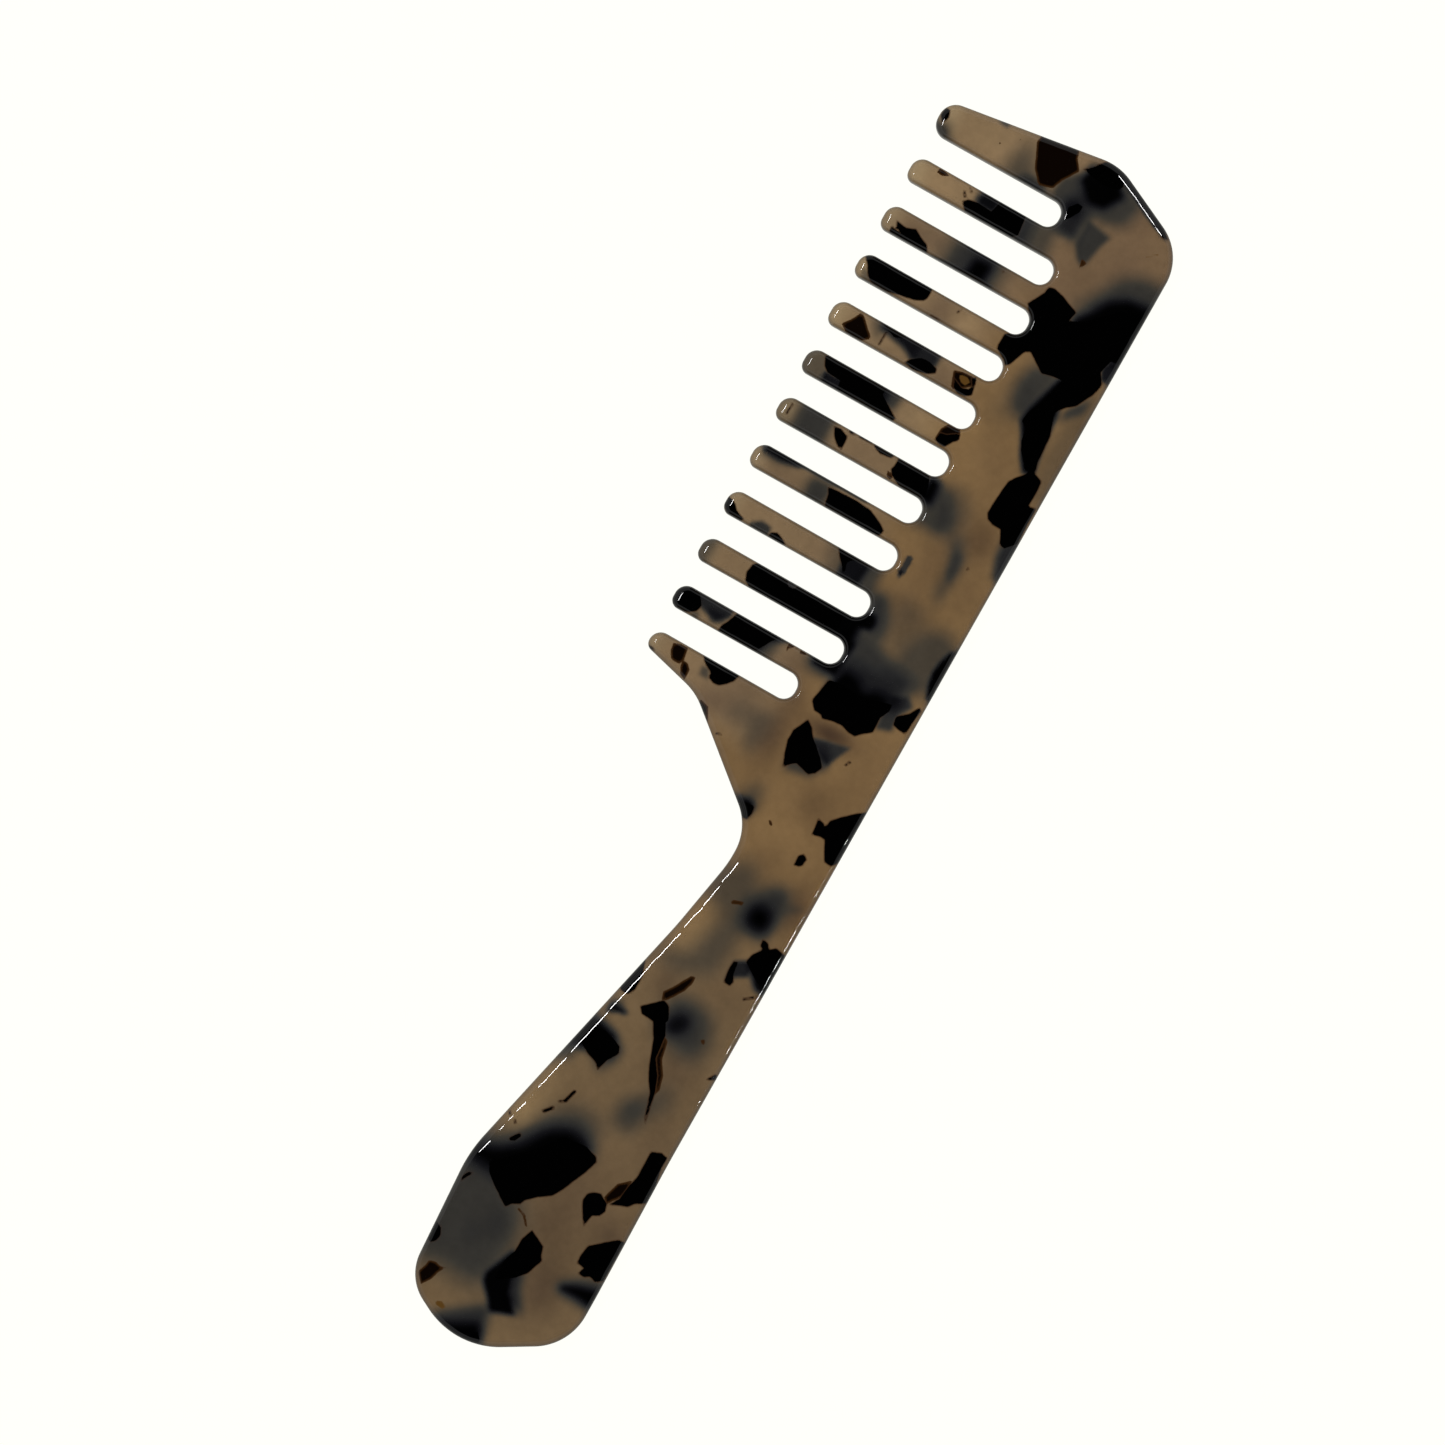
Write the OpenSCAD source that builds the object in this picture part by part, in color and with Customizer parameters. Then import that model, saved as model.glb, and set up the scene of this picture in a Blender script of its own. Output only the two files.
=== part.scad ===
// A hair comb cut from one flat plate: a broad handle, a narrow neck, and a straight spine
// that carries a row of wide-set teeth. Every edge is rounded over by hand polishing.
// Outlines are laid out from the end of the handle (x = 0) along the straight back edge
// (y = 0), with the teeth pointing to +y. The plate lies on z = 0 and is thickness tall.
// All sizes are in millimetres.

/* [Plate] */
// Thickness of the plate
thickness = 4; // [3:0.1:5]
// Radius that the polishing leaves on every edge
edge_r = 1; // [0.4:0.1:1.1]

/* [Handle] */
// Distance from the end of the handle to the narrowest point of the neck
neck_x = 79; // [74:1:90]
// Width of the handle where it is broadest
handle_w = 25.4; // [24:0.2:28]
// Distance from the end of the handle to its broadest point
broad_x = 23.5; // [20:0.5:27]
// Width of the neck
neck_w = 13.6; // [10:0.2:16]
// How far the back edge bows out near the end of the handle
back_bow = 0.4; // [0.1:0.1:0.7]

/* [Teeth] */
// Number of teeth, with the heel tooth and the front tooth
tooth_count = 12; // [6:1:14]
// Distance from one slot to the next
pitch = 7.65; // [7.4:0.05:9]
// Width of a slot
slot_w = 3.9; // [3.7:0.1:4]
// How far the middle of the row was sawn towards the handle
slot_drift = 0.3; // [0:0.1:0.4]
// Depth of the spine behind the long slots
spine_w = 14.1; // [12:0.1:15]
// Depth of the spine behind the first and last slots, which are shorter
end_spine_w = 17.5; // [16:0.1:18.5]
// Distance from the back edge to the tip of the heel tooth
heel_tip_y = 38.9; // [36:0.1:40]
// How much further the tip of the front tooth reaches
tip_rise = 0.8; // [0:0.1:1.5]

/* [Hidden] */

// Radii of the outline, seen from above
slot_r = 1.8;          // the two corners at the end of a slot
tip_r_front = 1.8;     // a tip's corner on the side of the nose
tip_r_back = 1.3;      // a tip's corner on the side of the handle
arc_angle = 15;        // largest angle between two points of an arc
arc_chord = 1.4;       // largest distance between two points of an arc
edge_steps = 3;        // steps in the rounding of an edge
sawn_margin = 0.3;     // a tooth starts this far beyond the round end of its slots

// Where the row of teeth starts, and the nose beyond the last slot
first_slot_x = neck_x + 23.97;
last_slot_x = first_slot_x + pitch * (tooth_count - 2);
front_tip_x = last_slot_x + 6.85;
nose_x = last_slot_x + 10.8;
nose_y = 13.9;
nose_back_x = last_slot_x + 4.2;

// The heel: a slope from the neck up to the outer side of the heel tooth
slope_start_x = neck_x + 3.7;
heel_x = neck_x + 16.8;
heel_y = 29.5;
heel_tip_x = neck_x + 19.2;

// Corners of the outline as [x, y, radius, cut]: each corner is rounded with its radius, and
// cut says that the straight side from this corner to the next is a joint between two nodes,
// where no edge is polished. The corners run anticlockwise.
handle_corners = [
    [neck_x, 0, 0, true],
    [neck_x, neck_w, 0, false],
    [neck_x - 2, neck_w, 18, false],
    [neck_x - 13, neck_w + 2, 60, false],
    [broad_x, handle_w, 21, false],
    [3.8, handle_w - 1.2, 6.8, false],
    [-1.77, handle_w * 0.535, 12, false],
    [6.5, -back_bow, 8.5, false],
    [14, -back_bow, 120, false],
    [36, 0, 200, false],
];

// A slot is counted from 1, at the heel tooth, to tooth_count - 1, at the front tooth.
function slot_x(i) =
    first_slot_x + pitch * (i - 1) - slot_drift * sin(180 * (i - 1) / (tooth_count - 2));
function slot_end_y(i) = (i == 1 || i == tooth_count - 1) ? end_spine_w : spine_w;

// Tooth i stands between slot i - 1 and slot i, and starts where both have straight sides.
function tooth_low_x(i) = slot_x(i - 1) + slot_w / 2;
function tooth_high_x(i) = slot_x(i) - slot_w / 2;
function tooth_tip_y(i) = heel_tip_y + tip_rise * (i - 1) / (tooth_count - 1);
function tooth_start_y(i) =
    max(slot_end_y(max(i - 1, 1)), slot_end_y(min(i, tooth_count - 1))) + slot_r + sawn_margin;

// Where a straight side from a to b stands at height y
function x_on_side(a, b, y) = a[0] + (b[0] - a[0]) * (y - a[1]) / (b[1] - a[1]);
slope_foot = [slope_start_x, neck_w];
heel_corner = [heel_x, heel_y];
nose_corner = [nose_x, nose_y];
front_tip = [front_tip_x, heel_tip_y + tip_rise];
heel_low_x = x_on_side(slope_foot, heel_corner, tooth_start_y(1));
front_high_x = x_on_side(nose_corner, front_tip, tooth_start_y(tooth_count));

// The spine: back edge, nose, then down and up around each slot, and the foot of the heel
spine_corners = concat(
    [
        [neck_x, 0, 0, false],
        [nose_back_x, 0, 7.5, false],
        [nose_x, nose_y, 8.3, false],
        [front_high_x, tooth_start_y(tooth_count), 0, true],
    ],
    [for (i = [tooth_count - 1:-1:1]) each [
        [slot_x(i) + slot_w / 2, tooth_start_y(i + 1), 0, false],
        [slot_x(i) + slot_w / 2, slot_end_y(i), slot_r, false],
        [slot_x(i) - slot_w / 2, slot_end_y(i), slot_r, false],
        [slot_x(i) - slot_w / 2, tooth_start_y(i), 0, true],
    ]],
    [
        [heel_low_x, tooth_start_y(1), 0, false],
        [slope_start_x, neck_w, 8, false],
        [neck_x, neck_w, 0, true],
    ]
);

heel_tooth_corners = [
    [heel_low_x, tooth_start_y(1), 0, true],
    [tooth_high_x(1), tooth_start_y(1), 0, false],
    [tooth_high_x(1), tooth_tip_y(1), tip_r_front, false],
    [heel_tip_x, tooth_tip_y(1), 1.2, false],
    [heel_x, heel_y, 9, false],
];

front_tooth_corners = [
    [tooth_low_x(tooth_count), tooth_start_y(tooth_count), 0, true],
    [front_high_x, tooth_start_y(tooth_count), 0, false],
    [front_tip_x, front_tip[1], 2.6, false],
    [tooth_low_x(tooth_count), front_tip[1], 2.2, false],
];

function tooth_corners(i) = [
    [tooth_low_x(i), tooth_start_y(i), 0, true],
    [tooth_high_x(i), tooth_start_y(i), 0, false],
    [tooth_high_x(i), tooth_tip_y(i), tip_r_front, false],
    [tooth_low_x(i), tooth_tip_y(i), tip_r_back, false],
];

// The direction from a to b, one long
function heading(a, b) = ([b[0], b[1]] - [a[0], a[1]]) / norm([b[0] - a[0], b[1] - a[1]]);
// The same direction turned a quarter turn to the left, which points into the plate
function left_of(d) = [-d[1], d[0]];
function turn_between(d, e) = atan2(cross(d, e), d * e);

// Corner i of a list after each polished side has moved inwards by inset
function moved_corner(corners, i, inset) =
    let (
        n = len(corners),
        before = corners[(i + n - 1) % n],
        here = corners[i],
        after = corners[(i + 1) % n],
        d = heading(before, here),
        e = heading(here, after),
        d_move = before[3] ? 0 : inset,
        e_move = here[3] ? 0 : inset,
        turn = cross(d, e)
    )
    [here[0], here[1]] + (e * d_move - d * e_move) / turn;

// The points of corner i's arc. Its radius shrinks with the inset where the outline bulges
// and grows where it is hollow.
function corner_points(corners, i, inset) =
    let (
        n = len(corners),
        here = corners[i],
        d = heading(corners[(i + n - 1) % n], here),
        e = heading(here, corners[(i + 1) % n]),
        turn = turn_between(d, e),
        p = moved_corner(corners, i, inset),
        r = here[2] - sign(turn) * inset,
        centre = p - d * r * tan(abs(turn) / 2) + left_of(d) * sign(turn) * r,
        arc_length = abs(turn) * PI / 180 * here[2],
        steps = max(1, ceil(abs(turn) / arc_angle), ceil(arc_length / arc_chord))
    )
    here[2] == 0
        ? [p]
        : [for (k = [0:steps])
            let (a = turn * k / steps, out = -left_of(d) * sign(turn) * r)
            centre + [out[0] * cos(a) - out[1] * sin(a), out[0] * sin(a) + out[1] * cos(a)]];

function outline(corners, inset = 0) =
    [for (i = [0:len(corners) - 1]) each corner_points(corners, i, inset)];

// The flat faces are filled with triangles, by cutting off one ear of the outline at a time.
// An ear is a bulging corner whose triangle holds no other point of what is left.
function turn_at(a, b, c) = cross(b - a, c - b);
function holds(a, b, c, p) =
    turn_at(a, b, p) >= 0 && turn_at(b, c, p) >= 0 && turn_at(c, a, p) >= 0;
function is_ear(points, left) =
    let (n = len(left), a = points[left[n - 1]], b = points[left[0]], c = points[left[1]])
    turn_at(a, b, c) > 0.0001
        && len([for (k = [2:n - 2]) if (holds(a, b, c, points[left[k]])) k]) == 0;
function turned_list(list, by) = [for (k = [0:len(list) - 1]) list[(k + by) % len(list)]];
function without_first(list) = [for (k = [1:len(list) - 1]) list[k]];
function triangles(points, left, tried = 0) =
    assert(tried <= len(left), "the outline crosses itself")
    len(left) == 3
        ? [left]
        : is_ear(points, left)
            ? concat(
                [[left[len(left) - 1], left[0], left[1]]],
                triangles(points, turned_list(without_first(left), 1))
            )
            : triangles(points, turned_list(left, 1), tried + 1);

// How far in and how high each ring of points lies, from the underside to the top
edge_rings = [for (k = [0:edge_steps])
    let (a = 90 * k / edge_steps) [edge_r * (1 - sin(a)), edge_r * (1 - cos(a))]];
plate_rings = concat(
    edge_rings,
    [for (k = [edge_steps:-1:0]) [edge_rings[k][0], thickness - edge_rings[k][1]]]
);

// The comb's own origin is the middle of its outline's box
handle_outline = outline(handle_corners);
spine_outline = outline(spine_corners);
low_x = min([for (p = handle_outline) p[0]]);
high_x = max([for (p = spine_outline) p[0]]);
mid_x = (low_x + high_x) / 2;
mid_y = (front_tip[1] - back_bow) / 2;

// A flat plate of the given outline, polished round on every side that isn't a joint
module polished_plate(corners) {
    rings = [for (ring = plate_rings) outline(corners, ring[0])];
    n = len(rings[0]);
    top = len(plate_rings) - 1;
    points = [for (k = [0:top]) each [for (p = rings[k]) [p[0], p[1], plate_rings[k][1]]]];
    sides = [for (k = [0:top - 1]) each [for (i = [0:n - 1])
        let (a = k * n + i, b = k * n + (i + 1) % n) each [[a, a + n, b + n], [a, b + n, b]]]];
    underside = triangles(rings[0], [for (i = [0:n - 1]) i]);
    upper_side = [for (t = underside) [for (k = [2:-1:0]) top * n + t[k]]];
    color("#8a6f50")
        translate([-mid_x, -mid_y, 0])
            polyhedron(points, concat(sides, underside, upper_side));
}

module handle() {
    polished_plate(handle_corners);
}

module spine() {
    polished_plate(spine_corners);
}

module heel_tooth() {
    polished_plate(heel_tooth_corners);
}

module tooth(i) {
    polished_plate(tooth_corners(i));
}

module front_tooth() {
    polished_plate(front_tooth_corners);
}

handle();
spine();
heel_tooth();
for (i = [2:tooth_count - 1])
    tooth(i);
front_tooth();
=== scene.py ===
"""The looks of a tortoiseshell acetate hair comb: one polished plate, built as fourteen closed
regions that stand for the CAD regions of the same names. Outline and pattern are laid out in
millimetres, x from the end of the handle and y from the back edge, as the CAD lays them out."""
import math

import bpy
import numpy as np
from mathutils import Euler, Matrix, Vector
from mathutils.geometry import delaunay_2d_cdt


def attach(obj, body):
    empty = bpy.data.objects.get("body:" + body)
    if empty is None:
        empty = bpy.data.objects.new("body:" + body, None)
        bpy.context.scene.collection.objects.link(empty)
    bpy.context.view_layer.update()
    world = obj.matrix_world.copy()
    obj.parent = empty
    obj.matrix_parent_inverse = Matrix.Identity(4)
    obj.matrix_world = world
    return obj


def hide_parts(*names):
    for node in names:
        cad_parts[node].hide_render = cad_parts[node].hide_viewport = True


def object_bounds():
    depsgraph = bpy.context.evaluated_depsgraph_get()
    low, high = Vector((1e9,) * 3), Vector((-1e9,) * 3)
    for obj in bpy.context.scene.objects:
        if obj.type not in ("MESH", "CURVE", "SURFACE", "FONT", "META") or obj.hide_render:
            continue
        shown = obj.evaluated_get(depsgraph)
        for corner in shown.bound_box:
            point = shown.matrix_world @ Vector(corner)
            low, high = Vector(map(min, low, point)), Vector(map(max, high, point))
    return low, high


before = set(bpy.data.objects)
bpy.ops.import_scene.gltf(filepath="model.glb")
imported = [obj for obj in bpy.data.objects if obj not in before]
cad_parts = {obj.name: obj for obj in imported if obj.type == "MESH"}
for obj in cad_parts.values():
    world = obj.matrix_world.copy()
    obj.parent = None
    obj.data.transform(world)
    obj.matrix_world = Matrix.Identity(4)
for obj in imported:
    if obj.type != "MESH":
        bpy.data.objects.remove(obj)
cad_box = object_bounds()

MM = 0.001

# ---------------------------------------------------------------- outline, in millimetres
THICKNESS = (cad_box[1][2] - cad_box[0][2]) / MM
NECK_X = 79.0
NECK_W = 13.6
HANDLE_W = 25.4
BACK_BOW = 0.4
FIRST_SLOT_X = NECK_X + 23.97
LAST_SLOT_X = FIRST_SLOT_X + 76.5
HEEL_TIP_Y = 38.9
TIP_RISE = 0.8
SLOTS = 11
SLOT_R = 1.8
SLOT_HALF_ROOT = 2.0
SLOT_HALF_MOUTH = 1.92
# The saw drifted a little from slot to slot, and stopped at slightly different depths.
SLOT_X = [102.97, 110.5, 118.1, 125.7, 133.3, 140.9, 148.6, 156.4, 164.0, 171.8, 179.47]
SLOT_END_Y = [17.3, 14.05, 14.05, 13.95, 14.2, 14.15, 14.2, 14.15, 14.15, 14.6, 17.7]
SHORT_ROOT_Y = 19.6
LONG_ROOT_Y = 16.2

# How far in from each kind of edge the polishing reaches
FINGER, SHOULDER, BACK, END, NOSE = 1.5, 0.85, 0.85, 1.1, 1.2
FLANK, TIP, SLOT_END = 0.8, 1.1, 0.75
POLISH_H = 1.3
# Slopes of the polished edge, in degrees from the flat face, at which it has a ring of points
SLOPES = (90, 80, 70, 60, 50, 41, 33, 26, 20, 15, 10, 5)
# Spacing of the points over the flat faces, and along the cuts between pieces
GRID = 0.36
CUT_STEP = 0.4


def root_y(tooth):
    """Height at which a tooth leaves the spine."""
    return SHORT_ROOT_Y if tooth in (1, 2, 11, 12) else LONG_ROOT_Y


def tip_y(tooth):
    return HEEL_TIP_Y + TIP_RISE * (tooth - 1) / SLOTS


def comb_corners():
    """Corners as (x, y, radius, polish, cut): polish and cut belong to the side that runs from
    this corner to the next, and cut is (axis, value) where the side passes from one piece to
    the next. They run anticlockwise, from the back edge near the nose."""
    front_tip_x = LAST_SLOT_X + 6.85
    corners = [
        (LAST_SLOT_X + 4.2, 0, 7.5, NOSE, None),
        (LAST_SLOT_X + 10.8, 13.9, 8.3, NOSE, (1, SHORT_ROOT_Y)),
        (front_tip_x, tip_y(12), 2.6, TIP, None),
        (SLOT_X[10] + SLOT_HALF_MOUTH, tip_y(12), 2.2, FLANK, (1, SHORT_ROOT_Y)),
    ]
    for tooth in range(SLOTS, 0, -1):
        middle, end = SLOT_X[tooth - 1], SLOT_END_Y[tooth - 1]
        cut = (1, root_y(tooth))
        corners += [
            (middle + SLOT_HALF_ROOT, end, SLOT_R, SLOT_END, None),
            (middle - SLOT_HALF_ROOT, end, SLOT_R, FLANK, cut),
        ]
        nose_side = middle - SLOT_HALF_MOUTH
        if tooth > 1:
            heel_side = SLOT_X[tooth - 2] + SLOT_HALF_MOUTH
            corners += [
                (nose_side, tip_y(tooth), 1.85, TIP, None),
                (heel_side, tip_y(tooth), 1.3, FLANK, cut),
            ]
    corners += [
        (nose_side, tip_y(1), 1.8, TIP, None),
        (NECK_X + 19.2, tip_y(1), 1.2, TIP, None),
        (NECK_X + 16.8, 29.5, 9, FINGER, (1, SHORT_ROOT_Y)),
        (NECK_X + 3.7, NECK_W, 8, FINGER, (0, NECK_X)),
        (NECK_X - 2, NECK_W, 18, FINGER, None),
        (NECK_X - 13, NECK_W + 2, 60, FINGER, None),
        (23.5, HANDLE_W, 21, SHOULDER, None),
        (3.8, HANDLE_W - 1.2, 6.8, END, None),
        (-1.77, HANDLE_W * 0.535, 12, END, None),
        (6.5, -BACK_BOW, 8.5, BACK, None),
        (14, -BACK_BOW, 120, BACK, None),
        (36, 0, 200, BACK, (0, NECK_X)),
    ]
    return corners


def unit(v):
    """A flat direction with a length of 1."""
    return v / np.hypot(*v)


def unit3(v):
    """A direction in space with a length of 1."""
    return v / max(np.linalg.norm(v), 1e-12)


def sample_outline(corners, straight=0.5, arc=0.35, arc_turn=math.radians(9)):
    """Points, outward directions and polish widths round the outline, and the numbers of the
    points that stand on a cut."""
    n = len(corners)
    where = [np.array(c[:2], float) for c in corners]
    heads = [unit(where[(i + 1) % n] - where[i]) for i in range(n)]
    starts, ends, arcs = [], [], []
    for i in range(n):
        d, e = heads[i - 1], heads[i]
        turn = math.atan2(d[0] * e[1] - d[1] * e[0], d @ e)
        r = corners[i][2]
        back = r * math.tan(abs(turn) / 2)
        starts.append(where[i] - d * back)
        ends.append(where[i] + e * back)
        left = np.array([-d[1], d[0]])
        arcs.append((turn, r, starts[i] + left * math.copysign(r, turn)))
    points, outs, widths, marks = [], [], [], []
    for i in range(n):
        turn, r, centre = arcs[i]
        d = heads[i - 1]
        steps = max(2, math.ceil(abs(turn) * r / arc), math.ceil(abs(turn) / arc_turn))
        radius = starts[i] - centre
        for k in range(steps + 1):
            a = turn * k / steps
            c, s = math.cos(a), math.sin(a)
            points.append(centre + [radius[0] * c - radius[1] * s, radius[0] * s + radius[1] * c])
            outs.append([d[1] * c + d[0] * s, d[1] * s - d[0] * c])
            share = k / steps
            widths.append(corners[i - 1][3] * (1 - share) + corners[i][3] * share)
        a, b = ends[i], starts[(i + 1) % n]
        length = np.hypot(*(b - a))
        shares = list(np.linspace(0, 1, max(2, math.ceil(length / straight)) + 1)[1:-1])
        cut = corners[i][4]
        if cut:
            axis, value = cut
            at = (value - a[axis]) / (b[axis] - a[axis])
            nearest = min(range(len(shares)), key=lambda k: abs(shares[k] - at))
            shares[nearest] = at
            marks.append(len(points) + nearest)
        for share in shares:
            points.append(a + (b - a) * share)
            outs.append([heads[i][1], -heads[i][0]])
            widths.append(corners[i][3])
    return np.array(points), np.array(outs), np.array(widths), marks


outline, outward, polish, marks = sample_outline(comb_corners())
OUTLINE_N = len(outline)
along = np.concatenate([[0], np.cumsum(np.hypot(*np.diff(outline, axis=0).T))])
# Hand polishing leaves its width uneven, most of all towards the neck.
wavy = 0.035 + 0.06 * np.exp(-(((outline[:, 0] - 70) / 9) ** 2)) * (polish > 1.2)
polish = polish * (1 + wavy * (
    np.sin(along * 0.83) + 0.7 * np.sin(along * 1.57 + 1) + 0.5 * np.sin(along * 2.9 + 2)))
inner = outline - outward * polish[:, None]
shift = np.array(cad_box[0][:2]) / MM - outline.min(0)


# ---------------------------------------------------------------- the pattern in the sheet
def signed_distance(px, py, polygon):
    """Distance in millimetres from points to a polygon's edge, positive inside."""
    poly = np.array(polygon, float)
    best = np.full(px.shape, 1e9)
    odd = np.zeros(px.shape, bool)
    for (ax, ay), (bx, by) in zip(poly, np.roll(poly, -1, axis=0)):
        dx, dy = bx - ax, by - ay
        t = np.clip(((px - ax) * dx + (py - ay) * dy) / max(dx * dx + dy * dy, 1e-12), 0, 1)
        best = np.minimum(best, (px - ax - t * dx) ** 2 + (py - ay - t * dy) ** 2)
        crosses = (ay > py) != (by > py)
        if dy:
            odd ^= crosses & (px < ax + (py - ay) * dx / dy)
    return np.sqrt(best) * np.where(odd, 1, -1)


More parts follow.
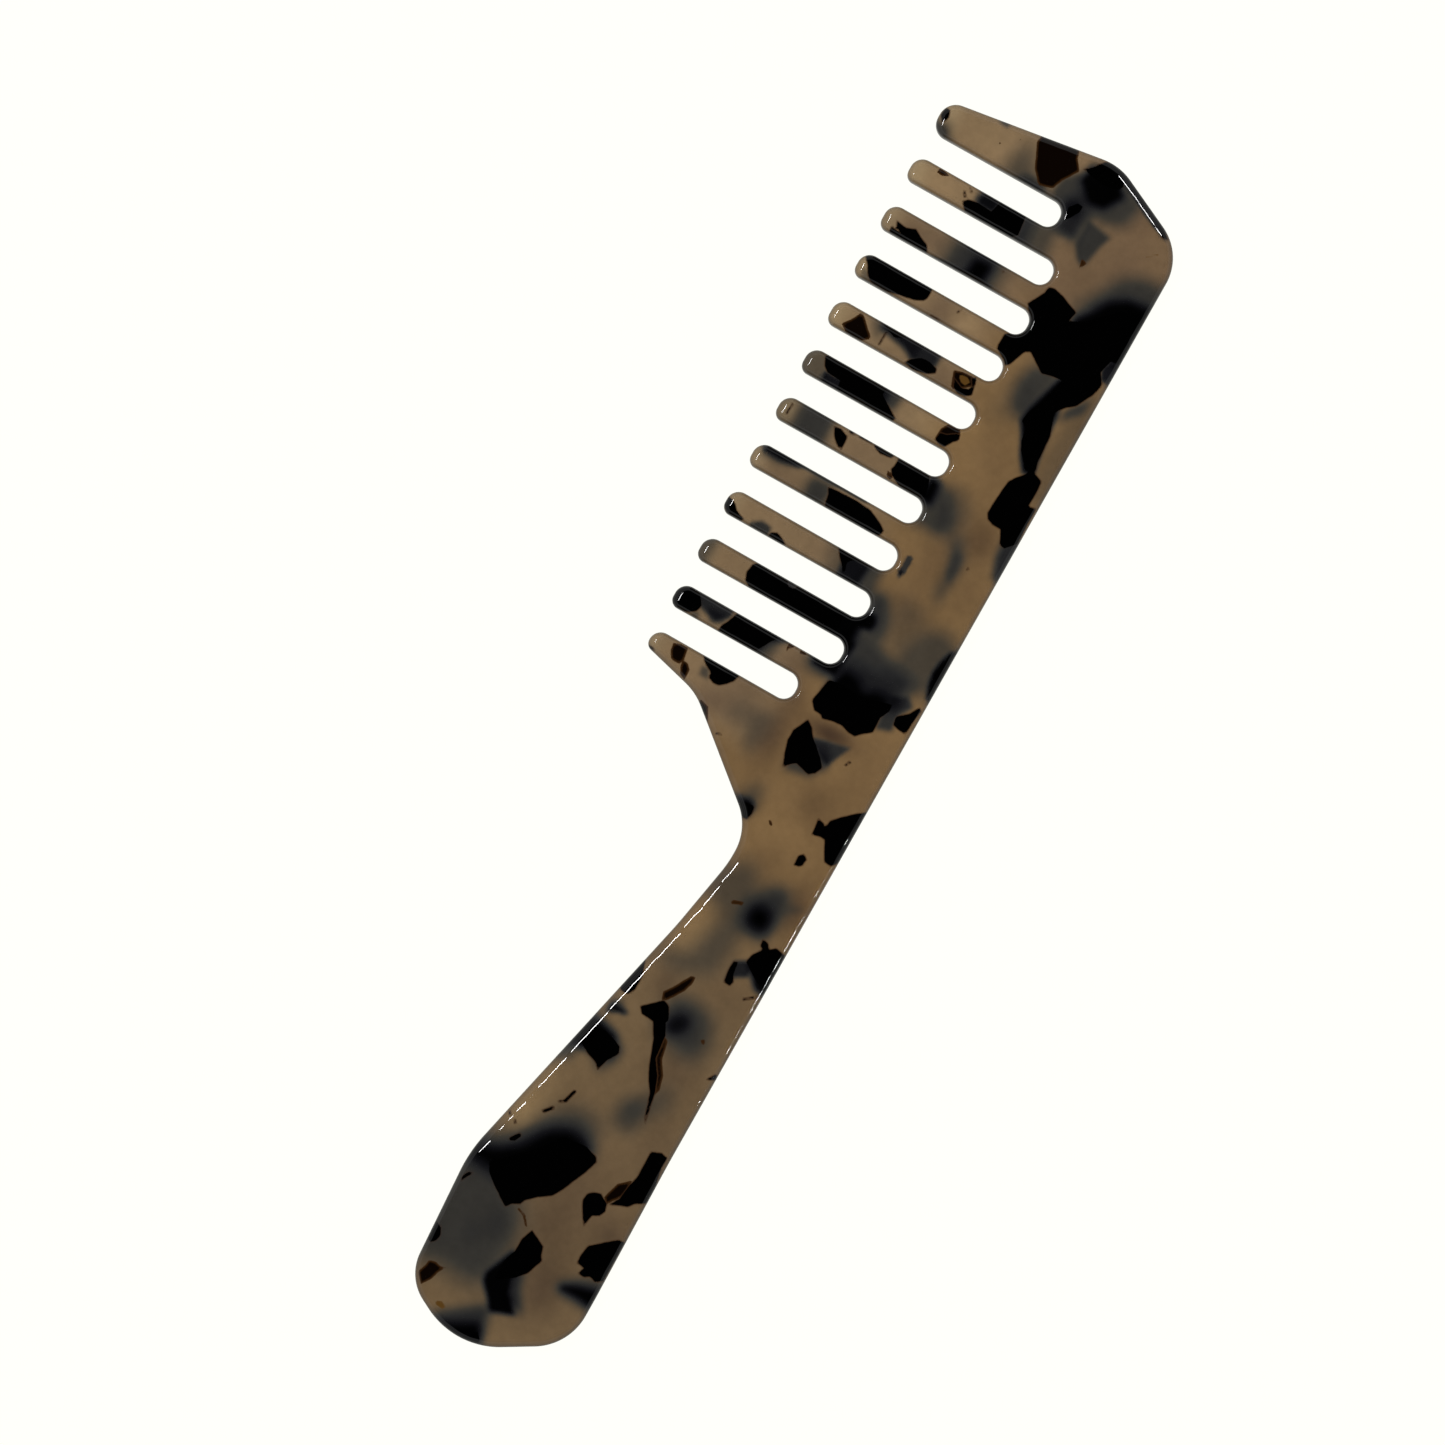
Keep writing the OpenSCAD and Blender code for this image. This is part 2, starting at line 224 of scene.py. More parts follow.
# Chips of black acetate that reach the upper face with a crisp edge: (depth, outline).
BLACK = [
    # handle, from its end to the neck
    (2.5, [(9.7, 23.9), (10.3, 23.3), (11.3, 23.05), (12.4, 23.6), (13.1, 25.2), (10.2, 25.2)]),
    (3.2, [(-.8, 15.4), (.4, 14), (1, 12.6), (2.1, 11.9), (1.2, 11), (-.8, 10.7)]),
    (4, [(9.6, 13.4), (12.5, 13.6), (14.6, 12.9), (16.6, 12.8), (18.3, 12.2), (17.8, 11.2),
         (17.1, 9.7), (15.8, 9.3), (15.2, 8.85), (12.8, 9.7), (11.2, 11)]),
    (4, [(19.3, 17.15), (20.9, 19.6), (22.5, 21.6), (23.8, 22.3), (26, 20), (29, 17),
         (32, 14.8), (32.4, 11.4), (31.8, 9.4), (31.1, 9), (29.3, 9.6), (27.2, 10.5),
         (25.5, 11.2), (24, 12.1), (22.5, 14.1), (21.5, 15.2), (20.7, 15.5), (20.2, 16.5)]),
    (1, [(27.7, 21.4), (28.2, 21.4), (29.5, 20.5), (29.3, 19.9), (28.1, 20.5)]),
    (1, [(33.7, 19.35), (35.1, 18.2), (34.8, 17.9), (33.6, 18.9)]),
    (1, [(36.1, 18.1), (36.5, 17.4), (38.6, 16.7), (38.4, 16.4), (36.4, 16.9), (35.9, 17.7)]),
    (1, [(19.6, 24.7), (21.1, 24.2), (21.3, 23.4), (20.2, 24), (19.5, 24.3)]),
    (1, [(30.2, 21.8), (30.7, 22.2), (30.8, 22), (30.4, 21.6)]),
    (1, [(30.8, 23), (31.5, 23.5), (31.6, 23.3), (30.9, 22.7)]),
    (2.4, [(16.2, 3.5), (17.3, 3.2), (17.4, 4.4), (18.5, 4.5), (20.3, 4.2), (21, 3.4),
           (23.1, .9), (23.2, -.2), (17, -.2), (16.3, .9), (16.6, 1.8), (16.1, 2.6)]),
    (3, [(22.4, 6.1), (23.4, 6.9), (25.5, 8.05), (26.7, 7.95), (27.3, 7.2), (27.6, 6.3),
         (26.8, 4.9), (25.7, 4.5), (24.8, 4.9), (24.3, 5.8), (23.5, 6)]),
    (3, [(26.8, 4.5), (28.2, 3.7), (30.4, 3.4), (32, 3), (36.2, 3), (36.8, 1.6),
         (36.6, .6), (34, .5), (32, -.2), (29.6, -.2), (28.7, 1.4), (27.8, 2), (27.3, 3.5)]),
    (3, [(39.3, 5.7), (40, 6.2), (43.3, 7.2), (44.5, 8.1), (46.8, 9.3), (50.3, 10.6),
         (52, 11.6), (53, 12.2), (53.2, 10.2), (51.5, 9.3), (48, 8.9), (46, 7.5), (44, 6.7),
         (42, 6.3)]),
    (4, [(52.3, 10.6), (52.6, 13.8), (53.4, 14.5), (54.6, 13.2), (55.8, 12), (55.4, 11),
         (54.5, 10.4), (53.5, 10)]),
    (4, [(45.1, 19.6), (47.5, 20), (48, 17), (47.4, 15), (47, 14.2), (46, 13.8),
         (44.4, 14.8), (42.6, 15.3), (43.3, 16), (43.8, 17.3), (44.4, 18.6)]),
    (2, [(54, 17.9), (54, 16.9), (55, 16.3), (57.2, 16.3), (59.5, 17), (60, 17.5),
         (57, 18.8), (54.5, 19.4)]),
    (2.6, [(66.2, 4.6), (67.5, 4.3), (68.8, 3.3), (69.2, 3.9), (70.2, 4.1), (70, 3.1),
           (69.3, 2.6), (70, 1.8), (69.6, -.2), (63.6, -.2), (64.6, 2.2)]),
    (1.5, [(62.2, 5.9), (64, 6.2), (65.4, 6.1), (65.6, 5.5), (63.8, 5.2), (62.8, 4.7),
           (62.1, 4.9)]),
    (1, [(61.2, 2.3), (61.5, 2.4), (62.7, .9), (62.4, .8)]),
    (1.5, [(48.9, 1.2), (49.4, 1.1), (50.2, .5), (50.2, -.2), (49.6, -.2)]),
    # spine
    (1.5, [(81.4, 5.4), (82.9, 5.5), (83.5, 4.9), (83, 4.2), (82, 4.3), (81.6, 4.6)]),
    (2.6, [(85.2, 17), (83.6, 15.2), (83.8, 14.4), (85, 14.1), (86, 14.3), (85.8, 16)]),
    (3, [(86.4, 5.3), (88.8, 5.6), (88.6, 4.6), (88.2, 4.2), (89.4, 4), (90.5, 3), (92, 1.4),
         (93.2, -.2), (85, -.2), (83.8, .8), (83.9, 1.9), (86.7, 3.4), (86.8, 4.2)]),
    (1, [(92, 24.1), (92.3, 24.2), (92.6, 23.5), (92.4, 23.4)]),
    (1, [(97.2, 6.1), (98.1, 5.8), (98, 5.5), (97.2, 5.9)]),
    (3, [(92.7, 13.6), (94.5, 14.3), (96.5, 14.9), (98, 14.85), (100.3, 13.8), (99.6, 12.8),
         (98.6, 12), (96.5, 9.6), (95.3, 8.6), (94.2, 9.2), (93.5, 10), (94.1, 12.2),
         (93.4, 13)]),
    (4, [(101.4, 12.1), (101.8, 12.5), (101.9, 13.7), (103, 14.65), (105, 14.3),
         (106.6, 14), (107, 12.7), (107, 10.5), (106.8, 9.4), (107, 8), (107.6, 6),
         (108, 4.4), (107, 4.3), (105.5, 5), (103.2, 4.9), (102.2, 6.2), (101.5, 6.9),
         (101.5, 8), (101.9, 9.2), (101.8, 10.8)]),
    (1.5, [(105.6, 3), (106.8, 3.2), (108, 1.8), (109.5, .9), (109.4, .4), (107, .7),
           (105.3, .8), (105.3, 2)]),
    (2, [(107.8, 16.4), (108.2, 17.4), (108.6, 17.6), (108.9, 15.6), (110, 14.2),
         (109, 13.9), (107.9, 14.6)]),
    (1, [(129.7, 4.7), (130.1, 4.7), (130.1, 4.45), (129.8, 4.45)]),
    (3, [(137.4, 5.6), (138.2, 6.1), (142, 5.9), (143.5, 5.7), (144.6, 5), (145.5, 4.2),
         (146.6, 3.8), (146.2, 2.6), (145.8, 1.6), (144, 1.45), (141.8, 1.5), (142.1, .4),
         (136.5, .2), (134.9, 1.6), (135.2, 2.4), (137.1, 3.3), (137.1, 4.6)]),
    (4, [(146.1, 4.5), (148.3, 6.4), (149.5, 7), (151.3, 7.3), (151.9, 8.3), (153.5, 8.1),
         (155.5, 7.2), (159.7, 6.1), (159.5, 7.5), (159.1, 9.2), (161, 12), (160.6, 12.7),
         (158, 13.7), (157.6, 14.2), (158.2, 14.8), (159.2, 16.5), (161.5, 16.4),
         (162.6, 14.9), (163.8, 14.3), (165, 14.5), (166.8, 15.7), (169.2, 14.4),
         (170.3, 14.2), (170.5, 13.4), (170.1, 11.8), (169, 9.1), (167.5, 9.4),
         (168.6, 7.3), (170.6, 5.4), (172.4, 3.6), (173, 2), (173.2, -.2), (165.6, -.2),
          (165.4, 1.4), (163.4, 1.9), (161.8, .9), (160, 1.3), (157.5, 2.6),
         (156.5, 3.8), (155.2, 4.8), (152, 3.7), (148, 3.4), (146.5, 3)]),
    (2, [(179.6, 17.2), (181.5, 17.4), (182.6, 16.5), (182.5, 15.6), (181.5, 15.7),
         (179.9, 16.6)]),
    (3, [(187.2, 18.2), (188, 17.2), (189.8, 15.9), (190.2, 14.5), (189.4, 13), (187.8, 12),
         (187, 12.4), (186.6, 14), (186.8, 16.4)]),
    (1.5, [(184.2, 3.8), (185.2, 5.1), (185.6, 5), (184.9, 3.4), (184.4, 2.8)]),
    # heel tooth
    (1.5, [(98, 38.7), (98.5, 38.6), (98.4, 37.6), (97.9, 37.4)]),
    (3.4, [(98.2, 28), (98.6, 29), (99.3, 29), (100.2, 30.5), (101.2, 31.3), (101.2, 25.2),
           (99.8, 25.6), (98.9, 26.4), (98.3, 27.2)]),
    # tooth 2
    (3, [(104.5, 38.6), (106, 39.4), (108, 39), (108.8, 37.5), (108.6, 36), (107.5, 35.2),
         (106.9, 34.8), (106, 35), (105.3, 35.8), (104.8, 36.8)]),
    (3.4, [(104.6, 31.2), (106, 30.9), (107, 30.4), (108.8, 29.8), (108.8, 22.7),
           (107.2, 23.8), (106.2, 24.3), (104.6, 25.3)]),
    # tooth 3
    (4, [(111.8, 30.3), (112.7, 30.5), (113, 31.2), (114.2, 31.6), (115.6, 31.4),
         (116.4, 30.5), (116.4, 25.8), (115.5, 25.7), (115.3, 25), (115.6, 24.5),
         (116.4, 24.5), (116.4, 16.9), (114, 16.3), (111.8, 16.8)]),
    # tooth 4
    (2.4, [(120, 38.3), (121, 39.3), (122.4, 39.1), (121.8, 37.8), (121, 37), (120.5, 35.6),
           (119.7, 36)]),
    (2, [(119.7, 31.5), (120.7, 31.4), (121.2, 30.6), (120.8, 29.6), (120.3, 28.8),
         (119.7, 29)]),
    (3, [(124.1, 22.4), (122.6, 21.3), (121.9, 20.6), (120.7, 19.8), (121.1, 19.5),
         (122.3, 19.9), (123, 19.4), (123.2, 17.6), (123.5, 16), (124.3, 15.8)]),
    (2, [(119.6, 19.9), (120.3, 19.5), (120.5, 18), (120.3, 16.8), (119.6, 16.3)]),
    # tooth 5
    (3, [(127.6, 26.6), (129.5, 27), (130.3, 27.5), (130.5, 26), (130.6, 23), (130.4, 20.6),
         (129.4, 18.5), (128.8, 17.6), (127.8, 17.8), (127.4, 20)]),
    # tooth 6
    (1, [(136.3, 37.9), (138.1, 37.7), (138, 37.5), (136.4, 37.6)]),
    (2, [(135.8, 28.5), (136, 29.2), (137, 30.3), (138.2, 30.9), (138.4, 30), (137.8, 28.6),
         (137, 28.5)]),
    (1.5, [(138.4, 28.7), (139.2, 28.8), (139.2, 28), (138.5, 28)]),
    (1.5, [(138.6, 27.2), (139.2, 27.3), (139.2, 24.9), (138.7, 25)]),
    (1.5, [(138, 23.5), (138.5, 24.6), (139.2, 24.6), (139.2, 21.5), (138.3, 21.6)]),
    (4, [(136.2, 20.5), (136.9, 21), (137.6, 20.8), (139.2, 20.8), (139.2, 17.6),
         (138.9, 15.8), (137.5, 15.2), (135.8, 14.8), (135.1, 15.8), (135.1, 18.5),
         (135.6, 19.3)]),
    # tooth 7
    (3, [(144.3, 35.5), (145, 36.4), (146.2, 36.9), (146.8, 36.6), (146.8, 27),
         (145.5, 27.2), (144.2, 25.2), (143.4, 23.9), (142.6, 24.3), (142.6, 33.2),
         (144.2, 33.4)]),
    (2.6, [(143.6, 17.7), (144.8, 17.5), (145, 16.5), (145.8, 15.4), (145.9, 14.9),
           (145.1, 14.7), (144.5, 15.3), (143.4, 15.9), (143.2, 16.5)]),
    # tooth 8
    (1, [(151.3, 31.25), (153.5, 31.2), (153.4, 31), (151.4, 31)]),
    (3, [(150.9, 26.8), (150.6, 25.2), (151, 23.4), (151.8, 22.2), (152.4, 22.4),
         (152.8, 23.6), (152.7, 25), (151.8, 26.3)]),
    (2, [(154.5, 32.4), (153.9, 31.4), (153.3, 29.8), (153.8, 28.6), (154.5, 28.2)]),
    (2, [(151, 17), (150.8, 18.2), (151.3, 19), (152.6, 19.7), (152.2, 18.9), (151.8, 18),
         (152.1, 17), (152.8, 16.8), (153.6, 17.5), (154.2, 16.8), (151.6, 16.2)]),
    # tooth 9
    (3.4, [(158.4, 36.5), (159.3, 37.5), (160.5, 38.2), (161.5, 39.1), (162.3, 38.4),
           (162.3, 28.4), (160.5, 28.4), (159.9, 28.7), (159.3, 30), (158.9, 32),
           (158.4, 34)]),
    (1, [(160.7, 23.8), (161.5, 23.6), (161.5, 23.4), (160.7, 23.6)]),
    (1, [(158.5, 27), (158.7, 27), (158.7, 25.4), (158.5, 25.4)]),
    # tooth 10
    (3, [(165.7, 37.8), (166.8, 37.8), (166.6, 36.3), (167.2, 37.3), (167.9, 37.6),
         (167.6, 36), (168.1, 34.6), (167.4, 33.2), (167, 32.2), (165.7, 31.4)]),
    (1, [(168.8, 21), (169.7, 21.4), (169.7, 21.2), (168.9, 20.8)]),
    # tooth 11
    (3, [(173.6, 29.8), (174.8, 30.8), (175.4, 30.2), (175.7, 28.8), (175.6, 26.6),
         (178, 26), (178, 22), (176, 21.8), (174.5, 21.6), (173.5, 22.5)]),
    (1, [(175.4, 30.9), (176.1, 31.5), (176.3, 31.3), (175.6, 30.7)]),
    (1, [(176.4, 30.4), (177, 30.9), (177.1, 30.6), (176.5, 30.2)]),
    # front tooth
    (1.5, [(183, 38.8), (184, 39.6), (185.4, 39.5), (185.1, 38.7), (184, 38.3)]),
]
# Chips where less dye went in, so that they look red-brown or amber: (depth, outline)
AMBER = [
    (3, [(3.85, 22.15), (5.3, 23.4), (6.7, 22.9), (7.5, 22.8), (7.7, 21.9), (7.5, 20.9),
         (7.7, 20.2), (6.7, 20.8), (5.3, 21.2)]),
    (1.5, [(18.3, 13.3), (19.5, 14.4), (19.9, 15.5), (20.2, 15.4), (19.7, 14.1),
           (18.4, 13)]),
    (2, [(26.6, 4.9), (27.4, 5.7), (30, 4.9), (31.4, 3.3), (29, 3.1), (27.6, 4.2)]),
    (2, [(43.4, 6.6), (46, 7.7), (48, 9.1), (51.4, 9.4), (51, 8.6), (48.4, 8.1), (46.4, 6.8),
         (44.4, 6.2)]),
    (2, [(55.5, 12.3), (56.8, 12.7), (57.9, 11.9), (60.7, 10.3), (60.8, 9.7), (59.8, 9.6),
         (58.3, 10.1), (56, 11.6)]),
    (1.5, [(174.6, 11.8), (175.8, 11.2), (176.1, 12.2)]),
    (2, [(98.2, 34.8), (99.3, 35.5), (100.4, 35.7), (100.8, 34.6), (100.8, 33.5),
         (98.9, 33.2), (98.2, 33.6)]),
    (2, [(98.9, 33.4), (98, 33.2), (97, 32.7), (96.4, 31.7), (98.2, 31.8), (98.9, 32.5)]),
    (2.4, [(151.4, 37.2), (152.5, 36.4), (154, 35.6), (154, 35.2), (152.8, 33.8),
           (151.5, 32.5), (150.5, 33.7), (150.2, 35), (150.4, 36)]),
    (2, [(92.6, 25.6), (94.2, 26.5), (95, 27), (95.4, 28.3), (94.6, 29)]),
    (2, [(107, 21.3), (108.5, 21.5), (108.6, 20.2), (107.8, 20.9)]),
    (1.5, [(107.8, 19.5), (108.4, 19.6), (108.4, 18.4), (108, 18.5)]),
    (1.5, [(135.7, 21.1), (136.5, 21.3), (136.5, 20.3), (135.4, 20.2)]),
    (2, [(176.6, 36), (177.3, 36), (177.4, 35), (177, 34.2), (176.5, 35)]),
    (3.4, [(182.1, 22.7), (184, 24.3), (187.2, 25.8), (188.9, 25.7), (189.4, 23),
           (189.8, 20), (188, 19.6), (187.2, 18.9), (186.6, 18.5), (184.3, 20),
           (182.7, 20.6), (182.4, 21.5)]),
    (2, [(150.9, 18.8), (151.3, 19.4), (153.4, 20.2), (153.9, 19), (154, 17), (153, 16.4)]),
    (2, [(143.4, 17.8), (145.4, 17.7), (146.5, 17), (146.7, 15.2), (145.2, 14.6)]),
    (1, [(185.3, 32.7), (185.7, 32.7), (185.6, 32.4)]),
    (1, [(184.3, 30.3), (184.7, 30.4), (184.7, 30.1)]),
    (1, [(186.1, 28), (186.5, 28.1), (186.5, 27.8)]),
    (1, [(72.3, 10.5), (72.9, 10.6), (73.4, 9), (72.9, 8.9)]),
    (1, [(52.9, 4.2), (53.4, 4.7), (53.8, 4.2), (53.2, 3.9)]),
    (1.5, [(84.5, 11), (85.1, 11.7), (85.4, 11.4), (84.9, 10.8)]),
]
# Chips of clear golden acetate, the lightest of all: (depth, outline)
GOLD = [
    (1.5, [(2.3, 17.7), (2.5, 19), (3, 19.1), (3.3, 18.4), (2.9, 17.5)]),
    (1.5, [(180.6, 4.4), (180.9, 4.4), (182, 3), (181.7, 2.9)]),
    (2, [(152.3, 17.7), (152.4, 18.4), (152.9, 19), (153.4, 19.1), (153.5, 18),
         (153.1, 17.3)]),
]
# Chips that lie under the upper face and show through it blurred, milky smoke in the sheet,
# and one strip of painted dark reflection along the polished nose edge: (darkness, blur, outline)
CLOUDS_AND_PAINTED_REFLECTION = [
    # handle
    (.99, 1, [(-2, 18.4), (.6, 17.4), (1.9, 15), (3, 13.2), (3.4, 12), (2, 11), (-2, 10.6)]),
    (.7, 1.2, [(-2, 19.4), (1.6, 18.6), (4, 15.6), (6, 12.9), (6.2, 11.6), (3.6, 11.2),
               (-2, 10.4)]),
    (.99, .5, [(5.2, 11.9), (6.8, 13.1), (8.6, 14.8), (9.9, 15.1), (14.6, 13.2), (14, 10.4),
               (11, 11.2), (9, 10.6), (7.4, 9), (6.6, 8.2), (6, 9.6)]),
    (.75, .9, [(7, 7.4), (8.4, 8.2), (10.4, 9.5), (13, 10.2), (12, 12), (7.6, 11)]),
    (.6, 2.8, [(7.8, 13.8), (6.8, 18), (7.9, 22), (5.6, 24), (8, 28), (26, 28), (26, 22),
                (20, 14), (14, 13)]),
    (.15, 1.5, [(15, 15), (14.6, 18.4), (18, 18.6), (19, 15)]),
    (.15, 1.2, [(12.4, 18.5), (13, 20.5), (15.5, 20.5), (15, 18.5)]),
    (.99, 1.5, [(23, 28), (25.6, 26), (26.4, 23), (28.8, 20), (32.4, 17.4), (34, 14.4),
                (33.6, 11.4), (32, 9.6), (28, 12), (22, 18)]),
    (.5, 2, [(25, 28), (27.8, 24.4), (30.2, 20.8), (35, 18), (37.2, 14.4), (36, 10.2),
             (30, 12)]),
    (.99, .8, [(12.8, 5.1), (13.6, 4.9), (14.6, 3), (15.8, -1), (12.6, -1), (12.9, 2)]),
    (.6, 1.1, [(12.2, 4.8), (13.8, 5.7), (16, 2.8), (17.4, -1), (12, -1)]),
    (.46, 1.5, [(36.5, 7), (36.9, 9.8), (39.2, 10.7), (41.7, 9.7), (41.7, 7), (39.2, 5.7)]),
    (.35, 1.6, [(40, 9), (43.6, 8), (46, 4.6), (43, 3.4), (40.4, 4.6)]),
    (.5, 1.1, [(40.2, 22.6), (45, 21.6), (45, 19), (42, 19.2)]),
    (.99, .9, [(44.6, 14.8), (44, 19), (43.4, 23), (48.8, 23), (49.4, 18.8), (48.4, 15.2),
               (46.6, 14)]),
    (.5, 1, [(42.2, 15.2), (44, 17.4), (47.6, 13.4), (44.6, 13.4)]),
    (.95, .5, [(50.2, 18.5), (51, 16.8), (51.3, 15.6), (51.8, 15.5), (52.2, 18.3)]),
    (.45, .6, [(51.3, 18.3), (51.8, 15.9), (53, 16.9), (52.8, 18)]),
    (.85, 1.2, [(52.4, 7.6), (51.8, 10.2), (53.2, 10.4), (55.4, 9.3), (55.7, 7.6),
                (54.2, 6.8)]),
    (.62, 1.8, [(50.4, 9.8), (50.4, 5), (53, 3.8), (57, 5.2), (58.2, 8.6), (57, 11.2),
                (53, 12)]),
    (.22, 1.6, [(49.4, 8), (49.6, 2.6), (53, 2), (56.4, 3.4), (57.8, 6), (53, 5)]),
    (.4, 1.8, [(60, 12), (60.4, 16), (62.2, 16), (63.4, 12.6), (70, 11), (72, 15), (76, 15),
               (79.4, 11), (77, 8), (68, 6.6), (62, 7.4)]),
    (1, 1.3, [(70.4, 4.6), (70.8, 7.6), (73.2, 7.9), (74.5, 6.6), (74, 4.4), (72, 3.9)]),
    (.68, 1.6, [(69.4, 4), (70, 8), (74, 8.6), (77.8, 6.4), (78, 3.6), (75, 2.8)]),
    (.3, .7, [(74.6, 3.4), (76.2, 3), (77, .9), (76, 1.2)]),
    (.8, .4, [(62.4, 5.9), (65.5, 6.1), (66.2, 5), (66.6, 3.6), (64.4, 3.2), (63.6, 4.6)]),
    (.97, .6, [(62.8, -1), (63.2, 1.6), (64.8, 3.2), (66.2, 4.4), (69, 3), (69, -1)]),
    # spine
    (.97, .6, [(83.8, 15.4), (84, 14.4), (86, 14.2), (86.6, 15.2), (86, 17.6), (84.8, 17)]),
    (.42, 1.4, [(85, 17.6), (85, 13.9), (87.6, 14), (89.6, 14.9), (87.4, 17)]),
    (.3, 1.2, [(91.6, 18.8), (93, 20.6), (97.8, 20.6), (99, 17.8), (95, 17.6)]),
    (.25, 1.4, [(94.6, 20), (95, 24.6), (98, 24), (98.4, 20)]),
    (.5, .8, [(92.4, 13.4), (93.2, 9.6), (95.8, 7.8), (97, 9.4), (95, 14)]),
    (.68, .35, [(95.8, 8.3), (99.8, 6.5), (98.5, 11.9), (98, 12.6)]),
    (.45, .8, [(95.2, 8.8), (97.6, 12.6), (98.8, 9.6), (97, 7.8)]),
    (.63, 1.3, [(107.6, 16), (114.6, 16), (115.2, 12.6), (114, 9.4), (112.8, 6.6),
                (112.4, 3.6), (107, 2.6)]),
    (.99, .9, [(104.5, 14), (107.6, 13.6), (109.2, 12.6), (109, 10.4), (108, 8.9), (108.8, 7),
               (108.6, 4.6), (105, 5.4)]),
    (.45, 1.2, [(107.6, 13.6), (110.8, 13), (111, 9), (110.8, 5), (107.6, 4)]),
    (.16, 1, [(109, 15.6), (113.4, 15.6), (112.6, 13.2), (109.4, 13)]),
    (.68, 1.3, [(115.4, 15), (121, 14.6), (121.2, 12.4), (118, 10.6), (114.6, 10.2)]),
    (.45, 1.6, [(111.6, 8), (116, 7), (119.6, 5.8), (121, 2.6), (119, -1), (112, -1),
                (110, 3)]),
    (.25, 1.6, [(113, 10), (118, 11), (122.6, 11), (121.6, 6), (115, 6.6)]),
    (.65, .5, [(103.8, 5), (104.6, 2.7), (107.4, 2.9), (109, 1.6), (110, 3), (109, 5)]),
    (.99, .35, [(110.2, -1), (111, .7), (113, 1.5), (114.8, 1.8), (116.5, 1.6), (118.4, 1),
                (119.8, -1)]),
    (.97, .5, [(115, 14.6), (117.6, 14.4), (117.9, 12.6), (116.8, 12), (115.5, 12.2)]),
    (.95, .5, [(107.5, 13.4), (107.5, 17.2), (108.8, 18), (109.6, 15), (113, 14.2),
               (113, 13.2)]),
    (.6, 1.2, [(106.4, 17.6), (108.6, 19), (109, 14), (106.6, 13.8)]),
    (.64, .12, [(124, 12.6), (125, 13.1), (127.4, 13), (127.6, 12.2), (126.6, 11.9),
                (125, 12.1)]),
    (.7, .3, [(123.9, 12.6), (125.2, 13.2), (125.2, 12)]),
    (.45, 1.2, [(123, 5.8), (124.6, 7.2), (128.6, 7.2), (132.6, 9), (133.6, 6.8),
                (129.4, 5.2)]),
    (.4, .8, [(126.6, 5.8), (128, 7.1), (131.4, 7.5), (131.2, 5.8)]),
    (.5, 1.3, [(132, 10.6), (131.4, 15), (138, 15), (138.4, 12.4), (135.4, 10), (133.4, 9.6)]),
    (.35, 1.6, [(131.6, 11), (138.8, 13.6), (139.6, 10.6), (137, 8), (132.6, 7.8)]),
    (.75, .8, [(129.8, -1), (130.4, 1), (133.4, 2.1), (136.4, 2.4), (137.4, -1)]),
    (.57, 1.6, [(152.4, 10.6), (156, 11.6), (160, 11), (161, 6), (152, 7.4)]),
    (.14, 1.6, [(149.6, 12.6), (153, 13.6), (158, 12.4), (158, 9), (151.6, 7.6)]),
    (.99, .5, [(145.4, 4.6), (147.4, 6.1), (150, 7.4), (152, 8.6), (154, 8.3), (160, 6.6),
               (160, 5), (155, 4.2), (150, 3.7), (146, 3)]),
    (.55, .8, [(154, 4), (156.4, 3.6), (159, 1.6), (162, .6), (157, 1.2)]),
    (.24, 1.6, [(142, 2.4), (150, 3.4), (156, 3), (160, .4), (158, -1), (142, -1)]),
    (.85, .4, [(162, -1), (162.3, 1.5), (164, 2.2), (165.4, 1.4), (165.8, -1)]),
    (.99, 1, [(168.4, 9.4), (170.4, 7.6), (172.8, 6), (174.4, 3.6), (175, -1), (165, -1),
              (165, 9)]),
    (.6, 1.6, [(169, 10.6), (172, 8.4), (176.2, 6.2), (178, 3.4), (178.4, -1), (172, -1)]),
    (.58, 1, [(177.2, 14), (177.4, 16), (178.4, 18.4), (182.4, 18.4), (183, 14)]),
    (.62, .5, [(175, 11.8), (175.7, 12.9), (177.3, 14), (181.2, 14), (180.6, 10),
               (178.6, 10.7), (176, 11.2)]),
    (.5, .9, [(177.6, 17.4), (178, 14.6), (181.4, 14.6), (182.4, 17.6)]),
    (.57, 1.4, [(181.6, 18), (185, 17), (188.4, 11), (186.6, 8), (182.8, 9), (181.6, 12)]),
    (.99, .8, [(183.4, 12.8), (183, 15.4), (185.6, 18.2), (188.6, 17.4), (188.8, 13),
               (186.4, 11)]),
    # A thin dark strip along the polished nose edge: painted dark reflection in the polish, not a
    # chip
    (.9, .3, [(184, 3), (185, 5.8), (187.8, 11.4), (189, 14.6), (190.6, 15), (189, 10),
              (186, 4)]),
    # teeth
    (.45, .4, [(98.2, 28.8), (98.2, 30.4), (99.6, 30.6), (99.9, 29.4)]),
    (.76, .45, [(107, 38), (106.6, 34.8), (105.8, 32), (107.6, 30.2), (109, 30.6),
                (109, 38)]),
    (.4, .5, [(105.4, 32.8), (107.2, 34), (107.6, 31), (106, 30.8)]),
    (.5, .5, [(104.4, 35.4), (105.8, 35.6), (106, 34.4), (104.4, 34.6)]),
    (.93, .7, [(104, 24.8), (106.8, 24), (107.6, 22.8), (109.4, 20.4), (109.4, 26),
               (104, 27)]),
    (.45, .9, [(104, 23), (107.4, 22), (107.4, 25), (104, 25)]),
    (.72, .2, [(115, 24.2), (115, 26), (117.4, 26), (117.4, 24.2)]),
    (.42, .9, [(111, 37.2), (117.4, 37), (117.4, 42), (111, 42)]),
    (.99, .8, [(111.4, 18), (116.9, 18), (116.9, 13.6), (111.4, 13.4)]),
    (.65, .35, [(119, 34.8), (120.8, 34.4), (121.6, 33.2), (121.4, 31.6), (119, 31.4)]),
